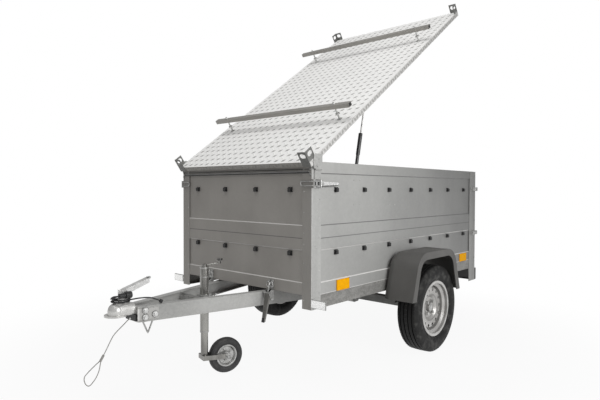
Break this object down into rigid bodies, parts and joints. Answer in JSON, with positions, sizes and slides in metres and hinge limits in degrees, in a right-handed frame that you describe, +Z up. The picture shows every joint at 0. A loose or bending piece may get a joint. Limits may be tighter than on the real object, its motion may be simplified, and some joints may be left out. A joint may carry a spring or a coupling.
{
  "type": "utility trailer",
  "caption": "Single-axle utility trailer with a tall sheet steel bed, a tread plate lid held open on gas struts, a tailgate, a tipping drawbar, a jockey wheel and a ball coupling.",
  "frame": {"origin": "On the ground, under the middle of the box round the whole trailer without its cable and lead", "axes": "+X forward to the coupling, +Y to the left side, +Z up"},
  "size_m": [2.957, 1.572, 2.4617],
  "materials": {
    "galvanised_sheet": "satin galvanised sheet, lightly spangled",
    "galvanised_steel": "satin hot-dip galvanised steel",
    "zinc_plated": "satin zinc plate",
    "tread_plate": "embossed aluminium tread plate",
    "floor_board": "sealed plywood",
    "black_plastic": "moulded black plastic",
    "black_paint": "black paint",
    "lamp_red": "clear red lens",
    "reflector_amber": "amber reflector",
    "reflector_white": "clear reflector",
    "rod_chrome": "polished rod",
    "rim_silver": "silver paint",
    "tyre_rubber": "black tyre rubber",
    "jockey_rubber": "solid black rubber",
    "coupling_steel": "satin zinc plate",
    "cable_sheath": "clear sheathed wire rope",
    "ferrule_metal": "pressed ferrule",
    "lead_rubber": "black rubber lead"
  },
  "bodies": {
    "bed": {"bed_floor": "floor_board", "side_rails": "galvanised_steel", "cross_members": "galvanised_steel", "wall_left_lower": "galvanised_sheet", "wall_right_lower": "galvanised_sheet", "wall_left_upper": "galvanised_sheet", "wall_right_upper": "galvanised_sheet", "wall_front_lower": "galvanised_sheet", "wall_front_upper": "galvanised_sheet", "front_posts": "galvanised_steel", "rear_posts": "galvanised_steel", "tarpaulin_hooks": "black_plastic", "axle_beam": "galvanised_steel", "axle_arms": "galvanised_steel", "mudguard_left": "black_plastic", "mudguard_right": "black_plastic", "light_carrier": "black_paint", "tail_lamps": "lamp_red", "amber_reflectors": "reflector_amber", "reflector_brackets": "galvanised_steel", "white_reflectors": "reflector_white", "lid_hinge_plates": "galvanised_steel", "strut_plates": "galvanised_steel", "drawbar_pivots": "galvanised_steel", "drawbar_clamps": "zinc_plated", "bed_latches": "zinc_plated"},
    "tailgate_lower": {"tailgate_lower": "galvanised_sheet"},
    "tailgate_upper": {"tailgate_upper": "galvanised_sheet"},
    "lid": {"lid_tray": "tread_plate", "lid_brackets": "galvanised_steel", "bar_posts": "zinc_plated", "roof_bars": "zinc_plated"},
    "strut_left_cylinder": {"strut_left_cylinder": "black_paint"},
    "strut_left_rod": {"strut_left_rod": "rod_chrome"},
    "strut_right_cylinder": {"strut_right_cylinder": "black_paint"},
    "strut_right_rod": {"strut_right_rod": "rod_chrome"},
    "wheel_left": {"wheel_left_rim": "rim_silver", "wheel_left_tyre": "tyre_rubber"},
    "wheel_right": {"wheel_right_rim": "rim_silver", "wheel_right_tyre": "tyre_rubber"},
    "drawbar": {"beam_left": "galvanised_steel", "beam_right": "galvanised_steel", "coupling_head": "coupling_steel", "jockey_clamp": "zinc_plated", "safety_cable": "cable_sheath", "safety_loop": "cable_sheath", "cable_ferrule": "ferrule_metal", "lead": "lead_rubber", "lead_grommet": "lead_rubber", "lead_coil": "lead_rubber", "lead_plug": "black_plastic"},
    "jockey_tube": {"jockey_tube": "zinc_plated"},
    "jockey_leg": {"jockey_leg": "zinc_plated"},
    "jockey_wheel": {"jockey_rim": "zinc_plated", "jockey_tyre": "jockey_rubber"}
  },
  "joints": [
    {"name": "lid_hinge", "type": "hinge", "parent": "bed", "child": "lid", "pos_m": [0.5845, 0, 1.212], "axis": [0, 1, 0], "range_deg": [-35.3, 0]},
    {"name": "strut_left_swing", "type": "hinge", "parent": "bed", "child": "strut_left_cylinder", "pos_m": [0.2295, 0.519, 0.9], "axis": [0, 1, 0], "range_deg": [-27.4, 0]},
    {"name": "strut_left_stroke", "type": "slide", "parent": "strut_left_cylinder", "child": "strut_left_rod", "axis": [-0.2107, 0, 0.9776], "range_m": [-0.2775, 0]},
    {"name": "strut_right_swing", "type": "hinge", "parent": "bed", "child": "strut_right_cylinder", "pos_m": [0.2295, -0.519, 0.9], "axis": [0, 1, 0], "range_deg": [-27.4, 0]},
    {"name": "strut_right_stroke", "type": "slide", "parent": "strut_right_cylinder", "child": "strut_right_rod", "axis": [-0.2107, 0, 0.9776], "range_m": [-0.2775, 0]},
    {"name": "wheel_left_spin", "type": "hinge", "parent": "bed", "child": "wheel_left", "pos_m": [-0.3985, 0.6935, 0.281], "axis": [0, 1, 0], "continuous": true},
    {"name": "wheel_right_spin", "type": "hinge", "parent": "bed", "child": "wheel_right", "pos_m": [-0.3985, -0.6935, 0.281], "axis": [0, 1, 0], "continuous": true},
    {"name": "tailgate_lower_hinge", "type": "hinge", "parent": "bed", "child": "tailgate_lower", "pos_m": [-1.4335, 0, 0.498], "axis": [0, -1, 0], "range_deg": [0, 90]},
    {"name": "tailgate_upper_hinge", "type": "hinge", "parent": "bed", "child": "tailgate_upper", "pos_m": [-1.4335, 0, 0.80375], "axis": [0, -1, 0], "range_deg": [0, 90]},
    {"name": "drawbar_pivot", "type": "hinge", "parent": "bed", "child": "drawbar", "pos_m": [0.0095, 0, 0.362], "axis": [0, 1, 0], "range_deg": [0, 22]},
    {"name": "jockey_slide", "type": "slide", "parent": "drawbar", "child": "jockey_tube", "axis": [0, 0, 1], "range_m": [0, 0.15]},
    {"name": "jockey_swivel", "type": "hinge", "parent": "jockey_tube", "child": "jockey_leg", "pos_m": [0.8915, 0, 0.1], "axis": [0, 0, 1], "continuous": true},
    {"name": "jockey_spin", "type": "hinge", "parent": "jockey_leg", "child": "jockey_wheel", "pos_m": [0.76846, 0.03528, 0.1], "axis": [0.2756, 0.9613, 0], "continuous": true}
  ],
  "couplings": [
    {"joint": "strut_left_swing", "follows": "lid_hinge", "ratio": 0.77345},
    {"joint": "strut_left_stroke", "follows": "lid_hinge", "m_per_rad": 0.44936},
    {"joint": "strut_right_swing", "follows": "lid_hinge", "ratio": 0.77345},
    {"joint": "strut_right_stroke", "follows": "lid_hinge", "m_per_rad": 0.44936}
  ]
}
